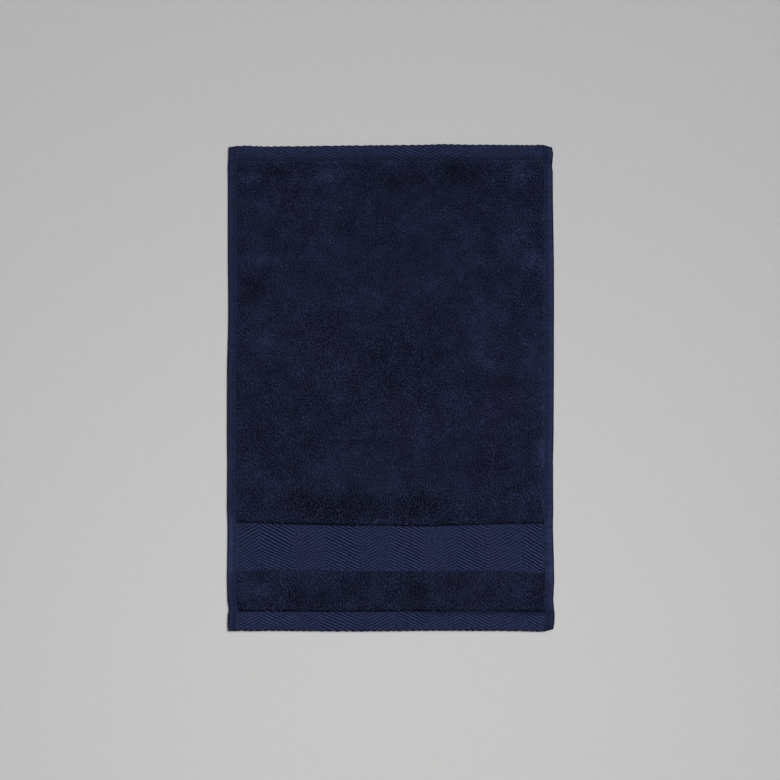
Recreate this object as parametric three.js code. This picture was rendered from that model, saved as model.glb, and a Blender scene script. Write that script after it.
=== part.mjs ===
// A hand towel laid out flat: one piece of terry cloth with a low chevron border band,
// chevron-woven end hems and plain side hems. Millimetres, +Z up. The underside rests on
// z = 0, +X runs across the width, and +Y runs along the length, away from the border.
//
// The cloth is worked out on an even rectangle, zone by zone, and then laid: each point
// moves a little, so that the outline and the woven lines wander as they do on soft cloth.
import * as THREE from 'three';
import { mergeVertices } from 'three/addons/utils/BufferGeometryUtils.js';

// Outer size, over the widest points of the uneven edges.
const WIDTH = 403.6;
const LENGTH = 601.1;

// Lines across the cloth, measured along Y from the middle of its length, and the
// width of the hems along both sides.
const FAR_SEAM = 281;
const BAND_FAR = -170.9;
const BAND_NEAR = -224.4;
const NEAR_SEAM = -276.5;
const SIDE_HEM = 11.5;

// Thickness of each zone.
const PILE = 4.6;
const BAND = 1.5;
const SIDE_HEM_THICK = 2.4;
const END_HEM_THICK = 2.4;
const HEM_CORNER_THICK = 3;

// The woven chevron: ribs that run down to both sides from their points.
const RIB_PITCH = 4;
const CHEVRON_DROP = 5 * RIB_PITCH;
const RIB_PROFILE = [
  { along: 0, rise: 0 },
  { along: 0.55, rise: 0.5 },
  { along: 1.95, rise: 0.5 },
  { along: 2.5, rise: 0 },
];

// Where the ribs of each ribbed zone change direction, across the cloth: highest at the even
// folds and lowest at the odd ones. The weave is pulled a little out of its even spacing.
const FOLDS = [
  { fold: -5, far: -202, band: -201, near: -202 },
  { fold: -4, far: -162, band: -161, near: -162 },
  { fold: -3, far: -119, band: -117, near: -121 },
  { fold: -2, far: -80, band: -81, near: -86 },
  { fold: -1, far: -36, band: -38, near: -38 },
  { fold: 0, far: 0, band: -1, near: 4 },
  { fold: 1, far: 47, band: 43, near: 44 },
  { fold: 2, far: 88, band: 81, near: 84 },
  { fold: 3, far: 131, band: 121, near: 123 },
  { fold: 4, far: 167, band: 161, near: 167 },
  { fold: 5, far: 207, band: 201, near: 207 },
];

// How far the long edges lie inside the outer width, down the length.
const SIDE_EDGES = [
  { y: -301, left: 1.3, right: 1.5 },
  { y: -291, left: 0.9, right: 0.0 },
  { y: -279, left: 1.2, right: 0.0 },
  { y: -274, left: 2.5, right: 0.7 },
  { y: -262, left: 0.7, right: 1.5 },
  { y: -237, left: 0.0, right: 0.4 },
  { y: -212, left: 0.4, right: 0.8 },
  { y: -176, left: 1.0, right: 2.0 },
  { y: -150, left: 0.1, right: 1.6 },
  { y: -90, left: 0.5, right: 1.9 },
  { y: -60, left: 0.1, right: 1.2 },
  { y: 22, left: 0.3, right: 0.8 },
  { y: 66, left: 1.5, right: 0.8 },
  { y: 100, left: 1.9, right: 0.6 },
  { y: 157, left: 1.4, right: 0.8 },
  { y: 231, left: 1.4, right: 2.0 },
  { y: 268, left: 1.4, right: 2.2 },
  { y: 275, left: 1.0, right: 3.2 },
  { y: 284, left: 1.9, right: 2.4 },
  { y: 293, left: 1.9, right: 1.7 },
  { y: 301, left: 2.2, right: 3.2 },
];

// How far the end hems lie inside the outer length, across the width. The outermost rows are
// the corners, which are tucked in except at the near left.
const END_EDGES = [
  { x: -202, far: 4.3, near: 1.3 },
  { x: -190, far: 2.5, near: 1.2 },
  { x: -181, far: 1.7, near: 1.0 },
  { x: -172, far: 2.4, near: 0.6 },
  { x: -150, far: 3.0, near: 1.2 },
  { x: -110, far: 2.5, near: 0.8 },
  { x: -52, far: 1.8, near: 0.3 },
  { x: 7, far: 1.2, near: 0.6 },
  { x: 40, far: 1.0, near: 1.2 },
  { x: 66, far: 0.0, near: 1.2 },
  { x: 90, far: 0.7, near: 1.1 },
  { x: 135, far: 0.9, near: 1.0 },
  { x: 165, far: 1.2, near: 0.6 },
  { x: 178, far: 1.2, near: 0.1 },
  { x: 187, far: 0.8, near: 0.0 },
  { x: 192, far: 1.6, near: 1.0 },
  { x: 202, far: 4.6, near: 3.7 },
];

// How the two woven edges of the border band wander along Y, across the width.
const BAND_EDGES = [
  { x: -190, far: 4.6, near: 0.0 },
  { x: -110, far: 1.8, near: 2.2 },
  { x: -50, far: 0.6, near: -0.3 },
  { x: 50, far: 0.0, near: -0.2 },
  { x: 130, far: 2.4, near: 0.6 },
  { x: 190, far: 3.4, near: -2.6 },
];

// The rolled outer edge of the hems: how far each level lies in, and its share of the
// hem's thickness.
const ROLLED_EDGE = [
  { inset: 0.5, share: 0 },
  { inset: 0, share: 0.45 },
  { inset: 0.35, share: 0.82 },
  { inset: 1.4, share: 1 },
];

// The pile starts this far in from a hem or the band, at this share of its full height,
// and stands at its full height further in.
const PILE_FOOT = 0.6;
const FOOT_SHARE = 0.72;
const PILE_SHOULDER = 2.6;

// The swells of the pile: height, how fast each turns across and along, and where it starts.
const SWELLS = [
  { height: 0.2, across: 47, along: 71, start: 0 },
  { height: 0.14, across: -57, along: 31, start: 1.3 },
];

// The ribs of the end hems stop this far inside the outer edge.
const HEM_MARGIN = 2.6;

// How far into the cloth the unevenness of the outer edges and of the band's edges reaches.
const EDGE_REACH = 60;
const BAND_REACH = 30;

// Spacing of the points over the pile and along the hems.
const PILE_STEP = 26;
const HEM_STEP = 13;

const HALF_WIDTH = WIDTH / 2;
const HALF_LENGTH = LENGTH / 2;
const INNER_HALF = HALF_WIDTH - SIDE_HEM - PILE_FOOT;

// Points nearer than this are one point.
const SAME_PLACE = 1e-4;

// Reads one column of a table at a place, in a straight line between its rows.
function readTable(table, key, place, column) {
  const next = table.findIndex((row) => row[key] >= place);
  if (next < 0) return table.at(-1)[column];
  if (next === 0) return table[0][column];
  const [low, high] = [table[next - 1], table[next]];
  const share = (place - low[key]) / (high[key] - low[key]);
  return THREE.MathUtils.lerp(low[column], high[column], share);
}

// Falls smoothly from 1 at no distance to 0 at the given reach.
function fade(distance, reach) {
  return 1 - THREE.MathUtils.smoothstep(Math.abs(distance), 0, reach);
}

// Where a point of the even rectangle lies on the soft, uneven towel.
function lay({ x, y, z }) {
  const left = readTable(SIDE_EDGES, 'y', y, 'left') * fade(x + HALF_WIDTH, EDGE_REACH);
  const right = readTable(SIDE_EDGES, 'y', y, 'right') * fade(x - HALF_WIDTH, EDGE_REACH);
  const far = readTable(END_EDGES, 'x', x, 'far') * fade(y - HALF_LENGTH, EDGE_REACH);
  const near = readTable(END_EDGES, 'x', x, 'near') * fade(y + HALF_LENGTH, EDGE_REACH);
  const bandFar = readTable(BAND_EDGES, 'x', x, 'far') * fade(y - BAND_FAR, BAND_REACH);
  const bandNear = readTable(BAND_EDGES, 'x', x, 'near') * fade(y - BAND_NEAR, BAND_REACH);
  return new THREE.Vector3(x + left - right, y + near - far + bandFar + bandNear, z);
}

// The soft swells of the pile as it lies.
function swell(x, y) {
  const waves = SWELLS.map((wave) => (
    wave.height * Math.sin(x / wave.across + y / wave.along + wave.start)
  ));
  return waves.reduce((sum, height) => sum + height);
}

// The thickness of the side hems, which lie over the end hems at the corners.
function sideHemHeight(y) {
  return y > FAR_SEAM || y < NEAR_SEAM ? HEM_CORNER_THICK : SIDE_HEM_THICK;
}

// Evenly spaced places from one value to another, both included.
function steps(from, to, step) {
  const count = Math.max(1, Math.round((to - from) / step));
  return Array.from({ length: count + 1 }, (_, i) => from + ((to - from) * i) / count);
}

// The places across a pile zone: its foot, its shoulder, its even middle, and back.
function pileStations(from, to) {
  const middle = steps(from + PILE_SHOULDER, to - PILE_SHOULDER, PILE_STEP);
  return [from + PILE_FOOT, ...middle, to - PILE_FOOT];
}

// Fills the strip between two rows of points with triangles. Both rows run the same way,
// in rising order of the key, and the left one lies to the left of that direction.
function zip(right, left, key) {
  const triangles = [];
  let [i, j] = [0, 0];
  while (i < right.length - 1 || j < left.length - 1) {
    const leftDone = j === left.length - 1;
    const rightDone = i === right.length - 1;
    if (leftDone || (!rightDone && right[i + 1][key] <= left[j + 1][key])) {
      triangles.push([right[i], right[i + 1], left[j]]);
      i += 1;
    } else {
      triangles.push([right[i], left[j + 1], left[j]]);
      j += 1;
    }
  }
  return triangles;
}

// A zone of pile between two lines across the cloth, with its four border rows.
function pileZone(nearLine, farLine, nearGround, farGround) {
  const across = pileStations(-HALF_WIDTH + SIDE_HEM, HALF_WIDTH - SIDE_HEM);
  const along = pileStations(nearLine, farLine);
  const rows = along.map((y, j) => across.map((x, i) => {
    const full = PILE + swell(x, y);
    const sideEdge = i === 0 || i === across.length - 1;
    const endEdge = j === 0 || j === along.length - 1;
    const endGround = j === 0 ? nearGround : farGround;
    const ground = endEdge ? endGround : SIDE_HEM_THICK;
    const z = sideEdge || endEdge ? THREE.MathUtils.lerp(ground, full, FOOT_SHARE) : full;
    return { x, y, z };
  }));
  return {
    triangles: rows.slice(1).flatMap((row, j) => zip(rows[j], row, 'x')),
    near: rows[0],
    far: rows.at(-1),
    left: rows.map((row) => row[0]),
    right: rows.map((row) => row.at(-1)),
  };
}

// How far a rib of a zone has dropped below its points, at a place across the cloth.
function chevronDrop(zone, x) {
  const fold = readTable(FOLDS, zone, x, 'fold');
  const nearestPoint = 2 * Math.round(fold / 2);
  return CHEVRON_DROP * Math.abs(fold - nearestPoint);
}

// Cuts a convex outline along a line across the cloth and keeps the side that is wanted:
// +1 is above the line, and -1 below it.
function cutAcross(outline, line, side) {
  const kept = [];
  outline.forEach((point, i) => {
    const next = outline[(i + 1) % outline.length];
    const [here, there] = [(point.y - line) * side, (next.y - line) * side];
    if (here >= 0) kept.push(point);
    if (here * there < 0) {
      const share = here / (here - there);
      kept.push({
        x: THREE.MathUtils.lerp(point.x, next.x, share),
        y: line,
        z: THREE.MathUtils.lerp(point.z, next.z, share),
      });
    }
  });
  return kept;
}

// The points of a zone that lie on one of its straight borders, in order and only once.
function borderRow(points, border, value, key) {
  const row = points.filter((point) => Math.abs(point[border] - value) < SAME_PLACE);
  row.sort((a, b) => a[key] - b[key]);
  return row.filter((point, i) => i === 0 || point[key] - row[i - 1][key] > SAME_PLACE);
}

// A flat zone with raised chevron ribs between two lines across the cloth, with its four
// border rows.
function ribbedZone(zone, nearLine, farLine, ground) {
  const folds = FOLDS.slice(1, -1).map((row) => row[zone]);
  const columns = [-INNER_HALF, ...folds, INNER_HALF];
  const levels = [];
  const first = Math.floor(nearLine / RIB_PITCH) - 1;
  const last = Math.ceil((farLine + CHEVRON_DROP) / RIB_PITCH) + 1;
  for (let rib = first; rib <= last; rib += 1) {
    RIB_PROFILE.forEach(({ along, rise }) => {
      levels.push({ y: rib * RIB_PITCH + along, z: ground + rise });
    });
  }
  const place = (x, level) => ({ x, y: level.y - chevronDrop(zone, x), z: level.z });
  const triangles = [];
  for (let i = 1; i < columns.length; i += 1) {
    for (let j = 1; j < levels.length; j += 1) {
      const [x0, x1, low, high] = [columns[i - 1], columns[i], levels[j - 1], levels[j]];
      const whole = [place(x0, low), place(x1, low), place(x1, high), place(x0, high)];
      const outline = cutAcross(cutAcross(whole, nearLine, 1), farLine, -1);
      for (let k = 2; k < outline.length; k += 1) {
        triangles.push([outline[0], outline[k - 1], outline[k]]);
      }
    }
  }
  const points = triangles.flat();
  return {
    triangles,
    near: borderRow(points, 'y', nearLine, 'x'),
    far: borderRow(points, 'y', farLine, 'x'),
    left: borderRow(points, 'x', -INNER_HALF, 'y'),
    right: borderRow(points, 'x', INNER_HALF, 'y'),
  };
}

// The rolled edge: one closed loop of points for each of its levels, all with the same
// places around the towel, counted from the near left corner.
function rolledEdge(across, along) {
  const corners = [
    ...across.map((x) => ({ x, y: -HALF_LENGTH })),
    ...along.slice(1).map((y) => ({ x: HALF_WIDTH, y })),
    ...across.slice(0, -1).reverse().map((x) => ({ x, y: HALF_LENGTH })),
    ...along.slice(1, -1).reverse().map((y) => ({ x: -HALF_WIDTH, y })),
  ];
  return ROLLED_EDGE.map(({ inset, share }) => corners.map(({ x, y }) => ({
    x: THREE.MathUtils.clamp(x, -HALF_WIDTH + inset, HALF_WIDTH - inset),
    y: THREE.MathUtils.clamp(y, -HALF_LENGTH + inset, HALF_LENGTH - inset),
    z: share * (Math.abs(x) > INNER_HALF ? sideHemHeight(y) : END_HEM_THICK),
  })));
}

// The flat underside, inside the lowest loop of the rolled edge.
function underside(loop) {
  const outline = loop.map(({ x, y }) => new THREE.Vector2(x, y));
  const faces = THREE.ShapeUtils.triangulateShape(outline, []);
  return faces.map(([a, b, c]) => [loop[c], loop[b], loop[a]]);
}

function towelTriangles() {
  const nearHem = ribbedZone('near', -HALF_LENGTH + HEM_MARGIN, NEAR_SEAM, END_HEM_THICK);
  const strip = pileZone(NEAR_SEAM, BAND_NEAR, END_HEM_THICK, BAND);
  const band = ribbedZone('band', BAND_NEAR, BAND_FAR, BAND);
  const field = pileZone(BAND_FAR, FAR_SEAM, BAND, END_HEM_THICK);
  const farHem = ribbedZone('far', FAR_SEAM, HALF_LENGTH - HEM_MARGIN, END_HEM_THICK);
  const zones = [nearHem, strip, band, field, farHem];

  const across = [-HALF_WIDTH, ...steps(-INNER_HALF, INNER_HALF, PILE_STEP), HALF_WIDTH];
  const inner = [
    -HALF_LENGTH + HEM_MARGIN,
    ...steps(NEAR_SEAM, BAND_NEAR, HEM_STEP),
    ...steps(BAND_NEAR, BAND_FAR, HEM_STEP).slice(1, -1),
    ...steps(BAND_FAR, FAR_SEAM, PILE_STEP),
    HALF_LENGTH - HEM_MARGIN,
  ];
  const loops = rolledEdge(across, [-HALF_LENGTH, ...inner, HALF_LENGTH]);
  const top = loops.at(-1);
  const [farRight, farLeft] = [across.length + inner.length, 2 * across.length + inner.length - 1];
  const edge = {
    near: top.slice(0, across.length),
    right: top.slice(across.length - 1, farRight + 1),
    far: top.slice(farRight, farLeft + 1).reverse(),
    left: [...top.slice(farLeft), top[0]].reverse(),
  };
  const hemLine = (x) => inner.map((y) => ({ x, y, z: sideHemHeight(y) }));
  const [leftHem, rightHem] = [hemLine(-INNER_HALF - PILE_FOOT), hemLine(INNER_HALF + PILE_FOOT)];

  const roll = loops.slice(1).flatMap((loop, level) => loop.flatMap((point, i) => {
    const [lower, next] = [loops[level], (i + 1) % loop.length];
    return [[lower[i], lower[next], loop[next]], [lower[i], loop[next], point]];
  }));
  return [
    ...underside(loops[0]),
    ...roll,
    ...zones.flatMap((zone) => zone.triangles),
    ...zones.slice(1).flatMap((zone, i) => zip(zones[i].far, zone.near, 'x')),
    ...zip(edge.near, [leftHem[0], ...nearHem.near, rightHem[0]], 'x'),
    ...zip([leftHem.at(-1), ...farHem.far, rightHem.at(-1)], edge.far, 'x'),
    ...zip(leftHem, edge.left, 'y'),
    ...zip(edge.right, rightHem, 'y'),
    ...zip(zones.flatMap((zone) => zone.left), leftHem, 'y'),
    ...zip(rightHem, zones.flatMap((zone) => zone.right), 'y'),
  ];
}

// The towel as one closed skin, with the middle of its box over the origin.
function towelGeometry() {
  const points = towelTriangles().flat().map(lay);
  const geometry = mergeVertices(new THREE.BufferGeometry().setFromPoints(points), SAME_PLACE);
  geometry.computeBoundingBox();
  const middle = geometry.boundingBox.getCenter(new THREE.Vector3());
  geometry.translate(-middle.x, -middle.y, 0);
  geometry.computeVertexNormals();
  return geometry;
}

const terry = new THREE.MeshStandardMaterial({ color: 0x1b2038, roughness: 0.95, metalness: 0 });
const towel = new THREE.Mesh(towelGeometry(), terry);
towel.name = 'towel_cloth';

const group = new THREE.Group();
group.add(towel);

export default group;
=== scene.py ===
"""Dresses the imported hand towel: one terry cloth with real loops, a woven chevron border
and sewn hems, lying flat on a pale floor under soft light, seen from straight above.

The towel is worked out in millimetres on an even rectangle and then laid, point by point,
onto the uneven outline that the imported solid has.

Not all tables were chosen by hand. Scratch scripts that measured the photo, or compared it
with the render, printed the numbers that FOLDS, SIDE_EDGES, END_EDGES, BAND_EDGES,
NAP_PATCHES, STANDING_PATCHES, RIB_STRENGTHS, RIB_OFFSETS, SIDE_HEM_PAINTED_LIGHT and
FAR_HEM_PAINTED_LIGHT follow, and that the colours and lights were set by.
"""
import math

import bpy
import numpy as np
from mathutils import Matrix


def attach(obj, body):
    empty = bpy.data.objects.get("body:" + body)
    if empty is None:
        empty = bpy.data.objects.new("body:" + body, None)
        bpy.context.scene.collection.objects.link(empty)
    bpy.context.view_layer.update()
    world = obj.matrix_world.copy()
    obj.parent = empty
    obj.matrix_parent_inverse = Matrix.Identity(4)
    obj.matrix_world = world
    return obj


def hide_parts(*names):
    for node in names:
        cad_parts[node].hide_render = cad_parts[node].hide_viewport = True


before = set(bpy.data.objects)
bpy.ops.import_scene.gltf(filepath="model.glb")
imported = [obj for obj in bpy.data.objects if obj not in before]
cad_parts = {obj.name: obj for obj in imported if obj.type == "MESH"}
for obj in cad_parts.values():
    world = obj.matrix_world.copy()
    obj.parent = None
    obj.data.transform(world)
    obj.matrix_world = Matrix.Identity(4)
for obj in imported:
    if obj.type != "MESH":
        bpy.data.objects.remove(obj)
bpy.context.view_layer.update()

MM = 0.001
UP = np.array([0.0, 0.0, 1.0])
CLOTH_NODE = "towel_cloth"

# ---- Sizes in millimetres, the same as the solid's ----
WIDTH, LENGTH = 403.6, 601.1
FAR_SEAM, BAND_FAR, BAND_NEAR, NEAR_SEAM = 281.0, -170.9, -224.4, -276.5
SIDE_HEM = 11.5
PILE, BAND = 4.6, 1.5
SIDE_HEM_THICK, END_HEM_THICK, HEM_CORNER_THICK = 2.4, 2.4, 3.0
SIDE_STITCH_INSET, END_STITCH_INSET = 9.4, 1.8
RIB_PITCH, RIB_RISE, RIB_MIDDLE, RIB_SHARE = 4.0, 1.0, 1.25, 0.64
CHEVRON_DROP = 5 * RIB_PITCH
PILE_FOOT = 0.6
HEM_MARGIN = 2.6
EDGE_REACH, BAND_REACH = 60.0, 30.0

HALF_WIDTH, HALF_LENGTH = WIDTH / 2, LENGTH / 2
INNER_HALF = HALF_WIDTH - SIDE_HEM - PILE_FOOT


def table(columns, rows):
    """A short table with named columns."""
    return np.array(rows, dtype=[(name, float) for name in columns.split()])


# Where the ribs of each ribbed zone change direction, across the cloth: highest at the even
# folds and lowest at the odd ones.
FOLDS = table("fold far band near", [
    (-5, -202, -201, -202),
    (-4, -162, -161, -162),
    (-3, -119, -117, -121),
    (-2, -80, -81, -86),
    (-1, -36, -38, -38),
    (0, 0, -1, 4),
    (1, 47, 43, 44),
    (2, 88, 81, 84),
    (3, 131, 121, 123),
    (4, 167, 161, 167),
    (5, 207, 201, 207),
])

# How far the long edges lie inside the outer width, down the length.
SIDE_EDGES = table("y left right", [
    (-301, 1.3, 1.5),
    (-291, 0.9, 0.0),
    (-279, 1.2, 0.0),
    (-274, 2.5, 0.7),
    (-262, 0.7, 1.5),
    (-237, 0.0, 0.4),
    (-212, 0.4, 0.8),
    (-176, 1.0, 2.0),
    (-150, 0.1, 1.6),
    (-90, 0.5, 1.9),
    (-60, 0.1, 1.2),
    (22, 0.3, 0.8),
    (66, 1.5, 0.8),
    (100, 1.9, 0.6),
    (157, 1.4, 0.8),
    (231, 1.4, 2.0),
    (268, 1.4, 2.2),
    (275, 1.0, 3.2),
    (284, 1.9, 2.4),
    (293, 1.9, 1.7),
    (301, 2.2, 3.2),
])

# How far the end hems lie inside the outer length, across the width. The outermost rows are
# the corners, which are tucked in except at the near left.
END_EDGES = table("x far near", [
    (-202, 4.3, 1.3),
    (-190, 2.5, 1.2),
    (-181, 1.7, 1.0),
    (-172, 2.4, 0.6),
    (-150, 3.0, 1.2),
    (-110, 2.5, 0.8),
    (-52, 1.8, 0.3),
    (7, 1.2, 0.6),
    (40, 1.0, 1.2),
    (66, 0.0, 1.2),
    (90, 0.7, 1.1),
    (135, 0.9, 1.0),
    (165, 1.2, 0.6),
    (178, 1.2, 0.1),
    (187, 0.8, 0.0),
    (192, 1.6, 1.0),
    (202, 4.6, 3.7),
])

# How the two woven edges of the border band wander along the length.
BAND_EDGES = table("x far near", [
    (-190, 4.6, 0.0),
    (-110, 1.8, 2.2),
    (-50, 0.6, -0.3),
    (50, 0.0, -0.2),
    (130, 2.4, 0.6),
    (190, 3.4, -2.6),
])

# The rolled outer edge: how far each level lies in, and its share of the hem's thickness.
ROLLED_EDGE = table("inset share", [
    (0.9, 0.02),
    (0.2, 0.1),
    (0.0, 0.3),
    (0.14, 0.52),
    (0.6, 0.8),
    (1.5, 1.0),
])

# The side hem's cross-section: places in from the outer edge, and how far the face lies
# above or below the hem's thickness there. The dip is the sewn line.
SIDE_HEM_SECTION = table("inset lift", [
    (2.0, 0.05),
    (3.0, 0.1),
    (5.5, 0.16),
    (7.8, 0.1),
    (8.8, 0.0),
    (SIDE_STITCH_INSET, -0.16),
    (10.0, 0.0),
    (11.0, 0.02),
    (SIDE_HEM, -0.1),
])


# ---- Laying the even rectangle onto the uneven towel ----
def read(rows, place, column):
    """A table's column at the given place in its first column."""
    return np.interp(place, rows[rows.dtype.names[0]], rows[column])


def ease(t):
    """Runs smoothly from 0 to 1 as t does."""
    return t * t * (3 - 2 * t)


def fade(distance, reach):
    """Falls smoothly from 1 at no distance to 0 at the given reach."""
    return 1 - ease(np.clip(np.abs(distance) / reach, 0, 1))


def lay(x, y):
    left = read(SIDE_EDGES, y, "left") * fade(x + HALF_WIDTH, EDGE_REACH)
    right = read(SIDE_EDGES, y, "right") * fade(x - HALF_WIDTH, EDGE_REACH)
    far = read(END_EDGES, x, "far") * fade(y - HALF_LENGTH, EDGE_REACH)
    near = read(END_EDGES, x, "near") * fade(y + HALF_LENGTH, EDGE_REACH)
    band_far = read(BAND_EDGES, x, "far") * fade(y - BAND_FAR, BAND_REACH)
    band_near = read(BAND_EDGES, x, "near") * fade(y - BAND_NEAR, BAND_REACH)
    return x + left - right, y + near - far + band_far + band_near


OUTLINE_SAMPLES_X, OUTLINE_SAMPLES_Y = 200, 300


def outline_middle():
    """The middle of the laid outline's box, which the solid has over its origin."""
    run_x = np.linspace(-HALF_WIDTH, HALF_WIDTH, OUTLINE_SAMPLES_X)
    run_y = np.linspace(-HALF_LENGTH, HALF_LENGTH, OUTLINE_SAMPLES_Y)
    left, _ = lay(-HALF_WIDTH, run_y)
    right, _ = lay(HALF_WIDTH, run_y)
    _, near = lay(run_x, -HALF_LENGTH)
    _, far = lay(run_x, HALF_LENGTH)
    return (left.min() + right.max()) / 2, (near.min() + far.max()) / 2


MIDDLE_X, MIDDLE_Y = outline_middle()


def laid_points(points):
    """Points of the even rectangle, in millimetres, as laid points in metres."""
    x, y = lay(points[:, 0], points[:, 1])
    return np.column_stack([x - MIDDLE_X, y - MIDDLE_Y, points[:, 2]]) * MM


# ---- Smooth random fields, always the same ----
# Each noise's strength, the width of its lumps in millimetres, and its seed.
NOISES = {
    "broad_waves": (0.25, 22, 11),
    "small_waves": (0.1, 11, 12),
    "yarn_strength": (0.6, 2.2, 13),
    "broad_strength": (0.25, 15, 14),
    "broad_pull": (0.4, 23, 15),
    "crease_depth": (0.4, 9, 16),
    "crease_shade": (0.35, 7, 17),
    "small_pull": (0.3, 6, 18),
    "first_row": (1.1, 6, 19),
    "broad_nap": (0.25, 17, 21),
    "small_nap": (0.24, 8, 22),
    "standing": (0.26, 20, 23),
    "fine_nap": (0.24, 4.5, 24),
    "hem_puckers": (0.22, 3.6, 31),
    "hem_waves": (0.16, 17, 32),
    "pressed_loops": (0.16, 2.7, 41),
    "pressed_clumps": (0.14, 6, 42),
    "clumps": (0.4, 5.2, 51),
    "lean_across": (0.9, 5.4, 52),
    "lean_along": (0.9, 5.4, 53),
    "edge_lean": (0.9, 5, 54),
}
LATTICE_MARGIN = 2


def noise(name, x, y):
    """Soft noise on both sides of 0, as strong as its gain."""
    gain, cell, seed = NOISES[name]
    columns = int(WIDTH / cell) + 3 * LATTICE_MARGIN
    rows = int(LENGTH / cell) + 3 * LATTICE_MARGIN
    lattice = np.random.default_rng(seed).uniform(-1, 1, (rows, columns))
    u = (x + HALF_WIDTH) / cell + LATTICE_MARGIN
    v = (y + HALF_LENGTH) / cell + LATTICE_MARGIN
    i = np.clip(np.floor(u).astype(int), 0, columns - 2)
    j = np.clip(np.floor(v).astype(int), 0, rows - 2)
    s, t = ease(np.clip(u - i, 0, 1)), ease(np.clip(v - j, 0, 1))
    low = lattice[j, i] * (1 - s) + lattice[j, i + 1] * s
    high = lattice[j + 1, i] * (1 - s) + lattice[j + 1, i + 1] * s
    return gain * (low * (1 - t) + high * t)


def noise_across(name, x):
    """Soft noise that changes across the cloth only."""
    return noise(name, x, np.zeros_like(x))


# The pile's long swells: how high each is, how long across and along, and where it starts.
SWELLS = table("height across along start", [
    (0.2, 47, 71, 0),
    (0.14, -57, 31, 1.3),
])


def swell(x, y):
    """The soft swells of the pile as it lies."""
    turns = (x / row["across"] + y / row["along"] + row["start"] for row in SWELLS)
    return sum(row["height"] * np.sin(turn) for row, turn in zip(SWELLS, turns))


WAVE_HEIGHT, WAVE_LENGTH, WAVE_START, WAVE_STRETCH = 0.16, 80, 150, 0.4


def cloth_waves(x, y):
    """The slight waves of the flat-woven zones."""
    wave = WAVE_HEIGHT * np.cos(2 * np.pi * (x + WAVE_START) / WAVE_LENGTH)
    return wave + noise("broad_waves", x, WAVE_STRETCH * y) + noise("small_waves", x, y)


# Places where the nap lies away from the light and looks darker, or towards it and looks
# lighter (a negative depth). Partly set after a scratch script's fit to the photo.
NAP_PATCHES = table("x y reach_x reach_y depth", [
    (-139, 265, 30, 18, 0.9),
    (-92, 258, 50, 20, -1.0),
    (-174, 258, 22, 18, -0.8),
    (166, 262, 30, 22, -1.3),
    (168, 152, 28, 44, -0.9),
    (171, 30, 26, 44, -0.9),
    (-172, 190, 24, 50, -0.4),
    (110, 56, 80, 30, -0.35),
    (-130, -95, 60, 30, 0.35),
    (68, 18, 26, 24, -0.6),
    (-70, 138, 34, 28, 0.4),
    (-92, -62, 40, 26, 0.4),
    (0, -250, 1000, 45, 0.4),
    (0, 279, 1000, 8, -0.5),
    (-75, 271, 32, 24, -1.4),
    (150, 274, 36, 17, -0.8),
    (192, 60, 26, 320, -0.6),
    (190, -85, 24, 90, -1.0),
    (80, 262, 38, 26, 1.7),
    (6, 253, 46, 22, 1.0),
    (-170, 126, 30, 26, 1.4),
    (-152, 198, 24, 18, 0.7),
    (-25, 40, 50, 34, 0.3),
    (135, -3, 46, 30, 0.4),
    (-164, -52, 40, 24, 0.8),
    (111, -95, 40, 26, 0.9),
    (-99, -141, 56, 24, 1.3),
    (-43, -146, 52, 30, 1.3),
    (31, -147, 50, 26, 1.2),
    (-117, -256, 28, 20, 0.8),
    (31, -252, 30, 24, 1.3),
    (150, 188, 36, 44, -0.9),
    (-158, 157, 34, 18, -0.9),
    (-164, 71, 28, 38, -0.7),
    (117, 89, 60, 50, -0.7),
    (-156, 223, 36, 28, -0.9),
    (111, 34, 46, 24, -0.9),
    (-173, -108, 34, 22, -0.5),
    (-166, -250, 34, 16, -0.7),
    (0, -243, 20, 18, -0.8),
    (81, -15, 24, 18, -0.7),
    (-69, -128, 26, 14, -0.6),
    (158, -133, 30, 14, -0.6),
    (-180, -76, 16, 24, 0.8),
])


# Places where the loops stand up more, with deeper shade between them, or are pressed flat
# (a negative gain). Set after a map of contrast that a scratch script printed.
STANDING_PATCHES = table("x y reach_x reach_y gain", [
    (10, 170, 200, 120, -0.55),
    (150, 200, 60, 60, -0.2),
    (0, 10, 130, 130, 0.5),
    (-115, -10, 60, 50, 0.4),
    (0, -158, 300, 50, 0.5),
    (-90, -150, 80, 46, 0.3),
    (80, -119, 60, 34, -0.4),
    (0, -250, 500, 60, 0.1),
    (-140, 275, 120, 30, 0.4),
])


NAP_SHARE, NAP_LEAST, NAP_MOST = 0.5, -0.9, 1.4


def patches_at(patches, x, y):
    """Each patch of a table, with its share at each place from 0 to 1."""
    for patch in patches:
        span = np.hypot((x - patch["x"]) / patch["reach_x"], (y - patch["y"]) / patch["reach_y"])
        yield patch, fade(span, 1)


def standing(x, y):
    """How much the loops stand up, around 1."""
    amount = 1 + noise("standing", x, y)
    for patch, share in patches_at(STANDING_PATCHES, x, y):
        amount = amount + patch["gain"] * share
    return amount


def nap(x, y):
    """How far the nap is turned from the light."""
    depth = noise("broad_nap", x, y) + noise("small_nap", x, y)
    depth = depth + noise("fine_nap", x, y)
    for patch, share in patches_at(NAP_PATCHES, x, y):
        depth = depth + NAP_SHARE * patch["depth"] * share
    return np.clip(depth, NAP_LEAST, NAP_MOST)


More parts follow.
